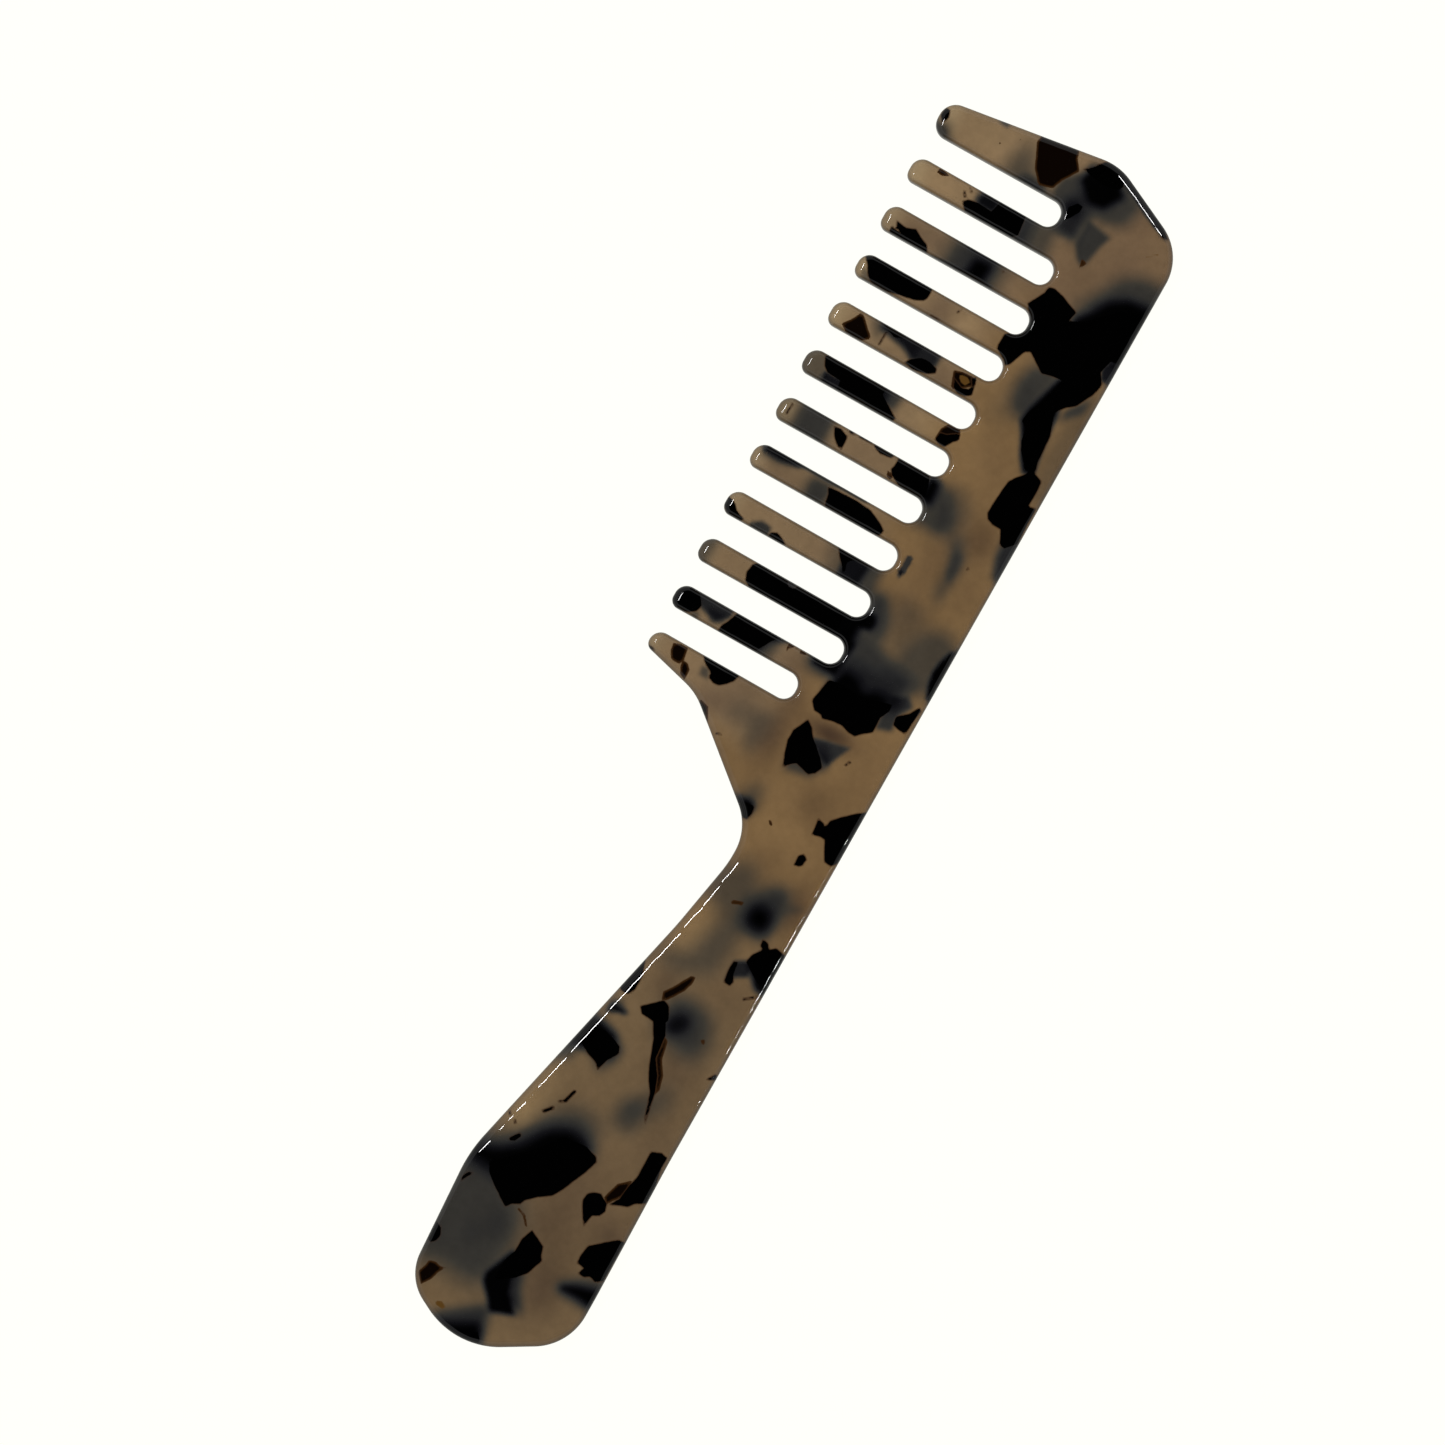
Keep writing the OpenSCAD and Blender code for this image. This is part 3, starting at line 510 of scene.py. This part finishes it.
    (.85, .6, [(119.4, 17), (119.4, 20.4), (122.8, 20.6), (124.4, 18.4), (124.4, 16.6)]),
    (.5, 1, [(119, 18), (124.8, 18), (124.8, 14.6), (119, 14.6)]),
    (.3, 1.4, [(119, 23), (122, 22.6), (124.8, 24), (124.8, 18), (119, 18)]),
    (.9, .5, [(130.3, 38), (130.1, 35.4), (130.6, 32.4), (132.2, 31), (132.2, 38.8)]),
    (.4, .7, [(129.6, 38), (129.6, 35), (131, 32), (132.4, 32), (132.4, 38.6)]),
    (.6, 1.2, [(126.8, 26.6), (126.8, 30.4), (130.8, 30.4), (131, 26.6)]),
    (.65, .3, [(130.9, 32), (132, 32), (132, 19.6), (130.9, 22)]),
    (.26, 1, [(134.2, 35.6), (140, 35.6), (140, 42), (134.2, 42)]),
    (.62, 1.2, [(134.2, 31), (134.2, 36.2), (140, 36.2), (140, 31)]),
    (.99, .8, [(134.8, 15.8), (139.4, 15.8), (138.6, 13.6), (135, 13.4)]),
    (.4, .9, [(141.8, 34.6), (147.4, 36.6), (147.4, 42), (141.8, 42)]),
    (.85, .3, [(142, 32.6), (144.6, 32.6), (144.4, 36), (142, 35.8)]),
    (.85, .7, [(143.4, 26), (144.4, 28.4), (147.4, 28.4), (147.4, 26.4)]),
    (.58, .9, [(143.6, 24.8), (147.4, 24.2), (147.4, 27), (144.6, 27)]),
    (.35, .8, [(151.4, 31.6), (154.8, 31.2), (154.8, 34), (153, 33.4)]),
    (.88, .6, [(153.4, 32), (152.6, 28), (151.6, 26), (154.8, 26), (154.8, 32.4)]),
    (.8, .5, [(151.8, 22.7), (154.8, 22.5), (154.8, 26.6), (151.8, 26.4)]),
    (.35, .3, [(158, 38), (160, 38.6), (159, 36.4), (158.6, 33), (158, 33)]),
    (.66, 2, [(164.6, 20.8), (164.6, 29.6), (171, 29), (171, 20.8)]),
    (.97, .3, [(165, 32), (165.9, 31.4), (166.5, 25), (166.3, 21.4), (165, 21.6)]),
    (.99, .9, [(165.6, 22.6), (165.6, 25.8), (169, 25.4), (169.2, 22.4)]),
    (.9, .4, [(169.5, 22), (169.4, 27), (170.4, 27), (170.4, 22)]),
    (.93, .7, [(175.2, 26), (175.2, 29.2), (176.6, 29.4), (178.6, 28.6), (178.6, 25.6)]),
    (.65, 1, [(172.6, 20), (172.6, 23), (178.6, 23), (178.6, 20.4)]),
    (.45, 1.2, [(172.6, 16.4), (172.6, 21), (178.6, 21), (178.6, 17)]),
    (.55, 1, [(180.6, 36), (180.6, 42), (183.2, 42), (183.4, 37.6)]),
    (.4, 1.6, [(180, 20), (180, 28.6), (184, 28), (187.4, 26.6), (184, 24), (182, 21)]),
    (.6, .9, [(180.4, 21), (180.4, 26), (182.4, 25), (182.6, 21.6)]),
    (.58, .9, [(180.6, 16), (180.8, 20.6), (184.6, 20.4), (186.6, 18.4), (183, 15.6)]),
    (.5, .35, [(186.8, 30.4), (187.1, 31.7), (188, 32), (187.9, 30.2)]),
]
# How the sheet looks at each darkness, from its own colour at 0
STAINS = [(0.5, (56, 53, 47)), (0.7, (38, 38, 38)), (0.85, (18, 18, 21)), (1.0, (1, 1, 1))]
# How much of a patch's lightening each of red, green and blue takes
PATCH_TINT = np.array([1, 1.02, 0.85])
# Wide patches where the clear sheet is thinner or thicker: (x, y, half width, half height,
# share of lightening, or of darkening below 0)
PATCHES = [
    (4, 4, 4, 4, .05), (12, 7, 5, 3.5, -.4), (23, 2, 3, 3, -.35), (22, 9, 8, 4, -.2),
    (27, 13, 8, 8, -.2), (34, 21, 6, 3, .35), (38, 3, 5, 3, -.2), (48, 6, 4, 4, -.3),
    (58, 13, 3, 2, -.3), (66, 13, 5, 3, .25), (61, 5, 4, 6, -.15), (76, 2, 4, 2, -.45),
    (80, 9, 3, 3, -.2), (83, 10, 5, 5, .1), (90, 7, 3, 3, -.25), (96, 2.5, 6, 3, -.1),
    (100, 10, 1.7, 4, -.6), (96, 17, 5, 2.5, -.45), (120, 9, 3, 4, -.2), (129, 9, 6, 3, -.25),
    (134, 5, 3.5, 3, -.4), (102, 17, 2, 2, -.3), (144, 9, 5, 4, -.15), (172, 11, 4, 5, -.1),
    (178, 6, 4, 3, -.2), (182, 4, 4, 3, .1), (185, 8, 3, 3, -.15), (99, 24, 4, 4, -.25),
    (96, 27, 2, 3, -.3), (106.5, 19.5, 3, 3, -.3), (122, 23, 2, 3, -.15),
    (129, 34, 2, 4, -.2), (137, 26, 2, 4, -.15), (145, 19, 2, 3, .2), (152.5, 38, 2, 2, .15),
    (152, 21, 2, 2, -.25), (160, 21, 2, 2, .12), (160, 26, 3, 2, -.3), (168, 20, 3, 2, -.3),
    (168, 35, 3, 3, -.2), (175, 36, 3, 6, .2), (184, 33, 4, 5, .18), (20, 11, 3, 2, -.15),
    (31, 21, 3, 2, .25), (63, 10, 2, 2, .15), (142, 11, 3, 3, .15), (147, 14, 2, 2, .2),
    (168, 31, 2, 3, -.3), (137, 37.5, 2, 1.5, .4), (145, 21, 2, 3, .1),
    (127, 3, 3, 2, -.15), (168, 20, 2, 2, .2), (160, 22, 2, 2, .1), (100, 10, 1.5, 3, -.2),
]


def linear(rgb):
    """A colour in 0-255 sRGB as linear numbers."""
    share = np.array(rgb, float) / 255
    return np.where(share <= 0.04045, share / 12.92, ((share + 0.055) / 1.055) ** 2.4)


def ease(edge_low, edge_high, value):
    """A smooth step, from 0 below edge_low to 1 above edge_high."""
    t = np.clip((value - edge_low) / (edge_high - edge_low), 0, 1)
    return t * t * (3 - 2 * t)


def near(points, polygon, margin):
    """Which points are within the polygon's box, widened by margin."""
    poly = np.array(polygon, float)
    low, high = poly.min(axis=0) - margin, poly.max(axis=0) + margin
    return np.nonzero(np.all((points[:, :2] > low) & (points[:, :2] < high), axis=1))[0]


# How far outside a chip its distance is still worked out, and how much a chip narrows on each
# side for each millimetre of depth
CHIP_REACH = 1.5
CHIP_TAPER = 0.12


def chip_distance(points, chips):
    """How far inside the nearest chip each point lies, in millimetres; outside is negative."""
    deepest = np.full(len(points), -CHIP_REACH)
    for depth, polygon in chips:
        k = near(points, polygon, CHIP_REACH)
        if not len(k):
            continue
        x, y, z = points[k].T
        below = THICKNESS - z
        flat = signed_distance(x, y, polygon) - CHIP_TAPER * below
        inside = np.minimum(flat, depth - below) if depth < THICKNESS else flat
        deepest[k] = np.maximum(deepest[k], inside)
    return deepest


def covered(x, y, polygon, blur):
    """The share of a small disc round each point that the polygon covers, from its middle and
    two rings of points in it."""
    total = ease(-0.5 * blur, 0.5 * blur, signed_distance(x, y, polygon))
    for reach, turns in ((0.42, 4), (0.85, 8)):
        for k in range(turns):
            a = 2 * math.pi * (k + 0.5) / turns
            there = signed_distance(x + reach * blur * math.cos(a),
                                    y + reach * blur * math.sin(a), polygon)
            total = total + ease(-0.5 * blur, 0.5 * blur, there)
    return total / (1 + 4 + 8)


def haze_and_painted_reflection(points):
    """How dark the sheet looks at each point, from 0, clear, to 1, black."""
    clear = np.ones(len(points))
    for darkness, blur, polygon in CLOUDS_AND_PAINTED_REFLECTION:
        k = near(points, polygon, 1.5 * blur)
        if len(k):
            clear[k] *= 1 - darkness * covered(points[k, 0], points[k, 1], polygon, blur)
    return 1 - clear


def sheet_colour(points, dark):
    """The colour of the clear amber sheet with everything that shows blurred through it."""
    x, y, _ = points.T
    handle, spine, nose = linear((104, 85, 61)), linear((114, 90, 60)), linear((108, 87, 64))
    tooth, tip = linear((120, 99, 73)), linear((134, 115, 87))
    colour = handle + (spine - handle) * ease(55, 82, x)[:, None]
    colour = colour + (nose - colour) * ease(158, 172, x)[:, None]
    root = ease(14.5, 22, y) * ease(90, 96, x)
    colour = colour + (tooth - colour) * root[:, None]
    colour = colour + (tip - colour) * (ease(35.5, 39, y) * ease(95, 99, x))[:, None]
    for px, py, half_w, half_h, share in PATCHES:
        weight = share * np.exp(-(((x - px) / half_w) ** 2) - ((y - py) / half_h) ** 2)
        colour = colour * (1 + weight[:, None] * PATCH_TINT)
    lower = 0
    for upper, stain in STAINS:
        share = np.clip((dark - lower) / (upper - lower), 0, 1)
        colour = colour + (linear(stain) - colour) * share[:, None]
        lower = upper
    return colour


# ---------------------------------------------------------------- meshes
def grid_inside(loop, spacing):
    """Points on a slightly uneven grid of triangles inside a loop, clear of its edge."""
    low, high = loop.min(axis=0), loop.max(axis=0)
    row_step = spacing * 0.866
    rows = np.arange(math.floor(low[1] / row_step), math.ceil(high[1] / row_step) + 1)
    cols = np.arange(math.floor(low[0] / spacing), math.ceil(high[0] / spacing) + 1)
    c, r = np.meshgrid(cols, rows)
    points = np.stack([(c + 0.5 * (r % 2)) * spacing, r * row_step], axis=-1).reshape(-1, 2)
    points += np.random.default_rng(11).uniform(-0.12, 0.12, points.shape) * spacing
    distance = signed_distance(points[:, 0], points[:, 1], loop)
    return points[distance > 0.45 * spacing]


def cut_points(a, b):
    """Points between outline points a and b on the straight cut that joins them, the same
    for the pieces on both sides of the cut."""
    low, high = min(a, b), max(a, b)
    steps = max(2, round(np.hypot(*(inner[high] - inner[low])) / CUT_STEP))
    points = np.linspace(inner[low], inner[high], steps + 1)[1:-1]
    return points if a == low else points[::-1]


def build_plate(sections):
    """Vertices in millimetres, faces and the number of wall faces of one piece. A section is a
    (first, last) stretch of the outline; the piece is cut straight from each to the next."""
    loop, outline_at = [], []
    for number, (first, last) in enumerate(sections):
        for k in range(first, last + 1):
            loop.append(inner[k % OUTLINE_N])
            outline_at.append(k % OUTLINE_N)
        following = sections[(number + 1) % len(sections)][0]
        between = cut_points(last % OUTLINE_N, following % OUTLINE_N)
        loop.extend(between)
        outline_at.extend([None] * len(between))
    loop = np.array(loop)
    size = len(loop)
    flat = np.concatenate([loop, grid_inside(loop, GRID)])
    ring = [(k, (k + 1) % size) for k in range(size)]
    made = delaunay_2d_cdt([Vector(p) for p in flat], ring, [list(range(size))], 1, 1e-6)
    at = {}
    for k, sources in enumerate(made[3]):
        at[k] = sources[0]
    total = len(flat)
    if len(made[0]) != total:
        raise SystemExit("a face's points met while it was being filled")
    top, bottom = [], []
    for face in made[2]:
        a, b, c = (at[k] for k in face)
        u, v = flat[b] - flat[a], flat[c] - flat[a]
        if u[0] * v[1] - u[1] * v[0] < 0:
            b, c = c, b
        top.append((total + a, total + b, total + c))
        bottom.append((a, c, b))
    vertices = [np.column_stack([flat, np.zeros(total)]),
                np.column_stack([flat, np.full(total, THICKNESS)])]
    angles = np.arctan(POLISH_H / np.tan(np.radians(SLOPES)).clip(0, 1e9))
    columns = {}
    base = 2 * total
    for position, k in enumerate(outline_at):
        if k is None:
            columns[position] = [position, total + position]
            continue
        rims = []
        for a in list(angles[::-1]) + list(angles):
            inset = polish[k] * (1 - math.cos(a))
            rims.append(outline[k] - outward[k] * inset)
        lift = [POLISH_H * (1 - math.sin(a)) for a in angles[::-1]]
        lift += [THICKNESS - POLISH_H * (1 - math.sin(a)) for a in angles]
        vertices.append(np.column_stack([rims, lift]))
        columns[position] = [position, *range(base, base + len(rims)), total + position]
        base += len(rims)
    faces = bottom + top
    walls = []
    for p in range(size):
        q = (p + 1) % size
        a, b = columns[p], columns[q]
        joined = outline_at[p] is not None and outline_at[q] is not None
        if joined and (outline_at[q] - outline_at[p]) % OUTLINE_N == 1:
            faces += [(a[c], b[c], b[c + 1], a[c + 1]) for c in range(len(a) - 1)]
            continue
        walls.append((a[0], b[0], b[-1], a[-1]))
        if outline_at[p] is not None:
            walls.append(tuple(a[::-1]))
        if outline_at[q] is not None:
            walls.append(tuple(b))
    return np.concatenate(vertices), faces + walls, len(walls)


def section_table():
    """The stretches of outline that bound each piece, by the CAD node it stands for."""
    neck_low, neck_high = marks[-1] - OUTLINE_N, marks[-2]
    pairs = [(marks[k], marks[k + 1]) for k in range(0, len(marks) - 2, 2)]
    names = ["front_tooth"] + [f"tooth_{k}" for k in range(11, 1, -1)] + ["heel_tooth"]
    table = {name: [pair] for name, pair in zip(names, pairs)}
    edges = [neck_low] + [k for pair in pairs for k in pair] + [neck_high]
    table["spine"] = [(edges[k], edges[k + 1]) for k in range(0, len(edges), 2)]
    table["handle"] = [(neck_high, neck_low + OUTLINE_N)]
    return table


def spot(point):
    """A key for points that are in the same place."""
    return tuple(np.round(point, 4))


plates = {name: build_plate(sections) for name, sections in section_table().items()}

# One smooth normal for each place, shared by the pieces that meet there
gathered = {}
for vertices, faces, wall_count in plates.values():
    keys = [spot(v) for v in vertices]
    for face in faces[:len(faces) - wall_count]:
        corners_of_face = vertices[list(face)]
        area = np.cross(corners_of_face[1] - corners_of_face[0],
                        corners_of_face[-1] - corners_of_face[0])
        for k in face:
            gathered[keys[k]] = gathered.get(keys[k], 0) + area


def make_piece(name, plate):
    vertices, faces, wall_count = plate
    mesh = bpy.data.meshes.new("comb_" + name)
    placed = vertices.copy()
    placed[:, :2] += shift
    mesh.from_pydata([Vector(v) for v in placed * MM], [], faces)
    mesh.validate()
    loop_normals = []
    for number, polygon in enumerate(mesh.polygons):
        wall = number >= len(faces) - wall_count
        for k in polygon.vertices:
            if wall:
                loop_normals.append(tuple(polygon.normal))
            else:
                loop_normals.append(tuple(unit3(gathered[spot(vertices[k])])))
    mesh.polygons.foreach_set("use_smooth", [True] * len(mesh.polygons))
    mesh.normals_split_custom_set(loop_normals)
    floats = {
        "black_chip": chip_distance(vertices, BLACK),
        "amber_chip": chip_distance(vertices, AMBER),
        "gold_chip": chip_distance(vertices, GOLD),
        "haze_and_painted_reflection": haze_and_painted_reflection(vertices),
    }
    for label, values in floats.items():
        layer = mesh.attributes.new(label, "FLOAT", "POINT")
        layer.data.foreach_set("value", values)
    layer = mesh.attributes.new("sheet", "FLOAT_COLOR", "POINT")
    shades = sheet_colour(vertices, floats["haze_and_painted_reflection"])
    layer.data.foreach_set("color", np.column_stack([shades, np.ones(len(vertices))]).ravel())
    piece = bpy.data.objects.new("comb_" + name, mesh)
    bpy.context.scene.collection.objects.link(piece)
    mesh.materials.append(tortoiseshell)
    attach(piece, "root")
    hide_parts(name)


# ---------------------------------------------------------------- materials
class Nodes:
    """Short ways to add shader nodes to one material."""

    def __init__(self, name):
        self.material = bpy.data.materials.new(name)
        self.material.use_nodes = True
        self.tree = self.material.node_tree
        self.surface = self.tree.nodes["Principled BSDF"]

    def add(self, kind, inputs=None, **settings):
        node = self.tree.nodes.new(kind)
        for key, value in settings.items():
            setattr(node, key, value)
        for key, value in (inputs or {}).items():
            self.put(node.inputs[key], value)
        return node

    def put(self, socket, value):
        if isinstance(value, bpy.types.NodeSocket):
            self.tree.links.new(value, socket)
        else:
            socket.default_value = value

    def math(self, operation, a, b=0.0):
        return self.add("ShaderNodeMath", {0: a, 1: b}, operation=operation).outputs[0]

    def noise(self, scale, detail):
        place = self.add("ShaderNodeTexCoord").outputs["Object"]
        node = self.add("ShaderNodeTexNoise", {"Vector": place, "Scale": scale, "Detail": detail})
        return node.outputs["Fac"]

    def attribute(self, name, output="Fac"):
        return self.add("ShaderNodeAttribute", attribute_name=name).outputs[output]

    def ramp(self, value, low, high, out_low=0.0, out_high=1.0):
        node = self.add("ShaderNodeMapRange", {
            "Value": value, "From Min": low, "From Max": high,
            "To Min": out_low, "To Max": out_high}, interpolation_type="SMOOTHSTEP")
        return node.outputs["Result"]

    def mix(self, share, a, b):
        node = self.add("ShaderNodeMix", data_type="RGBA")
        self.put(node.inputs[0], share)
        self.put(node.inputs[6], a)
        self.put(node.inputs[7], b)
        return node.outputs[2]


def rgba(rgb):
    return (*linear(rgb), 1.0)


# Colours of the chips, given in 0-255 sRGB: the rim, where the dye ran out, and the full dye
AMBER_RIM, AMBER_CORE = rgba((50, 30, 12)), rgba((9, 4, 2))
BLACK_RIM, BLACK_CORE = rgba((52, 33, 20)), rgba((1, 1, 1))
GOLD_TINT = rgba((82, 57, 24))
ACETATE_IOR = 1.49


def make_tortoiseshell():
    """Polished acetate: the sheet's own colour, then amber, gold and black chips over it, each
    where its distance, made a little uneven by noise, is above 0."""
    n = Nodes("tortoiseshell")
    wobble = n.math("MULTIPLY", n.math("SUBTRACT", n.noise(620.0, 3.0), 0.5), 0.2)
    fine = n.math("MULTIPLY", n.math("SUBTRACT", n.noise(2600.0, 2.0), 0.5), 0.06)
    wobble = n.math("ADD", wobble, fine)
    black = n.math("ADD", n.attribute("black_chip"), wobble)
    amber = n.math("ADD", n.attribute("amber_chip"), wobble)
    gold = n.math("ADD", n.attribute("gold_chip"), wobble)
    tone = n.ramp(n.noise(140.0, 3.0), 0.3, 0.7, 0.93, 1.06)
    mottle = n.ramp(n.noise(900.0, 4.0), 0.25, 0.75, 0.95, 1.05)
    tone = n.math("MULTIPLY", tone, mottle)
    scaled = n.add("ShaderNodeVectorMath", {0: n.attribute("sheet", "Color")}, operation="SCALE")
    n.put(scaled.inputs["Scale"], tone)
    # A black chip's brown rim doesn't show where the sheet round it is dark as well.
    unhidden = n.ramp(n.attribute("haze_and_painted_reflection"), 0.3, 0.85, 0.72, 0.0)
    colour = n.mix(n.ramp(amber, -0.08, 0.08), scaled.outputs[0], AMBER_RIM)
    colour = n.mix(n.ramp(amber, 0.06, 0.4), colour, AMBER_CORE)
    colour = n.mix(n.ramp(gold, -0.1, 0.14), colour, GOLD_TINT)
    rim = n.math("MULTIPLY", n.ramp(black, -0.22, 0.02), unhidden)
    colour = n.mix(rim, colour, BLACK_RIM)
    colour = n.mix(n.ramp(black, -0.03, 0.09), colour, BLACK_CORE)
    n.put(n.surface.inputs["Base Color"], colour)
    n.put(n.surface.inputs["Roughness"], n.ramp(n.noise(1500.0, 4.0), 0.3, 0.75, 0.03, 0.05))
    n.put(n.surface.inputs["IOR"], ACETATE_IOR)
    bump = n.add("ShaderNodeBump", {"Strength": 0.04, "Distance": 0.00004})
    n.put(bump.inputs["Height"], n.noise(420.0, 0.0))
    n.put(n.surface.inputs["Normal"], bump.outputs["Normal"])
    return n.material


tortoiseshell = make_tortoiseshell()
for name, plate in plates.items():
    make_piece(name, plate)

# ---------------------------------------------------------------- floor, light and camera
FLOOR_SIZE = 8.0
# How far the floor lies below the comb, so that the two never share a plane
FLOOR_GAP = 0.0001
paper = Nodes("paper")
paper.put(paper.surface.inputs["Base Color"], (0.02, 0.02, 0.02, 1.0))
paper.put(paper.surface.inputs["Roughness"], 0.9)
paper.put(paper.surface.inputs["Specular IOR Level"], 0.1)
paper.put(paper.surface.inputs["Emission Color"], (1.0, 1.0, 0.94, 1.0))
# The floor glows evenly to the camera, and less brightly to the comb that lies on it.
seen = paper.add("ShaderNodeLightPath").outputs["Is Camera Ray"]
paper.put(paper.surface.inputs["Emission Strength"], paper.ramp(seen, 0.0, 1.0, 0.35, 1.0))
bpy.ops.mesh.primitive_plane_add(size=FLOOR_SIZE, location=(0, 0, -FLOOR_GAP))
floor = bpy.context.object
floor.name = "floor"
floor.data.materials.append(paper.material)

scene = bpy.context.scene
scene.view_settings.view_transform = "Standard"
world = bpy.data.worlds.new("studio")
scene.world = world
world.use_nodes = True
sky = world.node_tree
background = next(node for node in sky.nodes if node.type == "BACKGROUND")
split = sky.nodes.new("ShaderNodeSeparateXYZ")
sky.links.new(sky.nodes.new("ShaderNodeTexCoord").outputs["Generated"], split.inputs[0])
bands = sky.nodes.new("ShaderNodeValToRGB")
sky.links.new(split.outputs["Z"], bands.inputs["Fac"])
# Brightness of the room by the height of the direction: two rows of windows in dim walls
# under a dark ceiling
ROOM = [(0, .22), (.17, .25), (.23, .6), (.29, .6), (.35, .28), (.50, .28), (.56, .55), (.62, .55),
        (.70, .1), (.85, 0)]
while len(bands.color_ramp.elements) < len(ROOM):
    bands.color_ramp.elements.new(1.0)
for stop, (height, strength) in zip(bands.color_ramp.elements, ROOM):
    stop.position = height
    stop.color = (strength, strength, strength, 1.0)
# The camera sees a plain pale backdrop where the room would be.
veil = sky.nodes.new("ShaderNodeMix")
veil.data_type = "RGBA"
sky.links.new(sky.nodes.new("ShaderNodeLightPath").outputs["Is Camera Ray"], veil.inputs[0])
sky.links.new(bands.outputs["Color"], veil.inputs[6])
veil.inputs[7].default_value = (1.0, 1.0, 0.95, 1.0)
sky.links.new(veil.outputs[2], background.inputs["Color"])


def softbox(name, toward, tilt, distance, width, height, watts, shows=True):
    """An area light in the horizontal direction toward, tilt degrees off the vertical, with
    its width across that direction. It glints in the polish if it shows."""
    side, up = math.sin(math.radians(tilt)), math.cos(math.radians(tilt))
    lamp = bpy.data.lights.new(name, "AREA")
    lamp.shape = "RECTANGLE"
    lamp.size, lamp.size_y, lamp.energy = width, height, watts
    holder = bpy.data.objects.new(name, lamp)
    aim = Vector((toward[0] * side, toward[1] * side, up)).normalized()
    holder.location = aim * distance
    holder.rotation_euler = aim.to_track_quat("Z", "Y").to_euler()
    holder.visible_glossy = shows
    scene.collection.objects.link(holder)


softbox("key", (0.14, 0.990), 26, 1.3, 0.21, 0.12, 4.7)
softbox("side", (0.954, -0.300), 33, 1.34, 0.12, 0.12, 3)
softbox("back", (-0.06, -0.998), 60, 1.3, 0.045, 0.04, 1.2)
softbox("fill", (0.0, 1.0), 10, 1.3, 0.80, 0.80, 9.5, shows=False)

# The camera looks straight down: its turn in degrees, the point below it and the width it sees
CAMERA_TURN = -60.51
CAMERA_AT = (-0.97 * MM, 4.45 * MM)
FRAME_WIDTH = 204.19 * MM
camera_data = bpy.data.cameras.new("camera")
camera_data.lens = 150
camera_data.sensor_width = 36
camera_data.clip_start = 0.01
camera = bpy.data.objects.new("camera", camera_data)
height = FRAME_WIDTH * camera_data.lens / camera_data.sensor_width
camera.location = (*CAMERA_AT, THICKNESS * MM + height)
camera.rotation_euler = Euler((0, 0, math.radians(CAMERA_TURN)))
scene.collection.objects.link(camera)
scene.camera = camera
